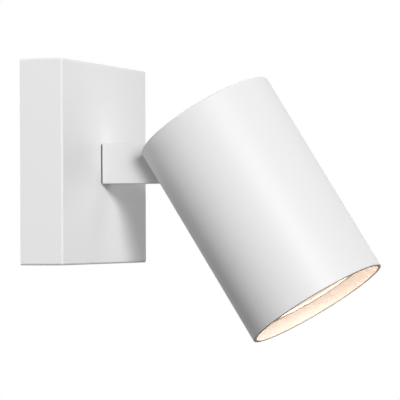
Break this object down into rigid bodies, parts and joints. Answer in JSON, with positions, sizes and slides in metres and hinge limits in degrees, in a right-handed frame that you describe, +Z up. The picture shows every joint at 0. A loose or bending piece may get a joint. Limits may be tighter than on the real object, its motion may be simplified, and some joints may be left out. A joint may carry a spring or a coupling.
{
  "type": "pivoting spotlight wall light",
  "caption": "White wall spotlight: box-shaped backplate, short flat swivelling arm and a cylindrical tilting head round a reflector lamp.",
  "frame": {"origin": "middle of the backplate's wall side, on the wall plane", "axes": "+Y into the wall, -Y into the room, +X to the right for someone facing the wall, +Z up"},
  "size_m": [0.105, 0.1465, 0.1247],
  "materials": {
    "white_paint": "smooth satin white powder coat",
    "arm_paint": "smooth satin white powder coat on the arm",
    "head_paint": "smooth satin white powder coat, outside and inside",
    "zinc_steel": "zinc-plated sheet steel",
    "screw_steel": "zinc-plated screws, nuts and washers",
    "brass": "plain brass",
    "block_plastic": "natural polyamide",
    "black_rubber": "matt black rubber",
    "fibre": "dark fibre washer",
    "ceramic": "unglazed white ceramic",
    "lead_brown": "brown silicone insulation",
    "lead_blue": "blue silicone insulation",
    "lead_green_yellow": "green and yellow silicone insulation",
    "lamp_plastic": "glossy white lamp housing",
    "lamp_lens": "frosted lens, lit warm white",
    "lamp_board": "aluminium board",
    "pin_steel": "nickel-plated pins"
  },
  "bodies": {
    "base": {"backplate_cover": "white_paint", "swivel_plate": "zinc_steel", "wall_bracket": "zinc_steel", "cover_screws": "screw_steel", "cable_grommet": "black_rubber", "terminal_block": "block_plastic", "terminal_clamps": "brass", "terminal_screws": "screw_steel", "block_screws": "screw_steel", "earth_ring": "brass", "earth_screw": "screw_steel", "bracket_earth_lead": "lead_green_yellow", "block_live_lead": "lead_brown", "block_neutral_lead": "lead_blue", "block_earth_lead": "lead_green_yellow"},
    "arm": {"arm": "arm_paint", "swivel_stud": "screw_steel", "gap_washer": "fibre", "stop_washer": "screw_steel", "spring_washer": "screw_steel", "swivel_nut": "screw_steel", "arm_live_lead": "lead_brown", "arm_neutral_lead": "lead_blue", "arm_earth_lead": "lead_green_yellow"},
    "head": {"head_tube": "head_paint", "head_cap": "head_paint", "hinge_plate": "zinc_steel", "hinge_plate_screws": "screw_steel", "friction_washers": "fibre", "pivot_bolt": "screw_steel", "pivot_spring_washer": "screw_steel", "pivot_nut": "screw_steel", "lampholder": "ceramic", "holder_contacts": "brass", "holder_screws": "screw_steel", "earth_tag": "brass", "head_live_lead": "lead_brown", "head_neutral_lead": "lead_blue", "head_earth_lead": "lead_green_yellow"},
    "lamp": {"lamp_housing": "lamp_plastic", "lamp_lens": "lamp_lens", "lamp_board": "lamp_board", "lamp_base": "lamp_plastic", "lamp_pins": "pin_steel"}
  },
  "joints": [
    {"name": "swivel", "type": "hinge", "parent": "base", "child": "arm", "pos_m": [0, -0.02, 0], "axis": [0, 1, 0], "range_deg": [-165, 165]},
    {"name": "tilt", "type": "hinge", "parent": "arm", "child": "head", "pos_m": [0, -0.08, 0], "axis": [1, 0, 0], "range_deg": [-58, 32], "deforming": ["head_live_lead", "head_neutral_lead", "head_earth_lead"]},
    {"name": "lamp_twist", "type": "hinge", "parent": "head", "child": "lamp", "pos_m": [0, -0.09139, -0.01823], "axis": [0, -0.5299, -0.848], "range_deg": [0, 30]}
  ]
}
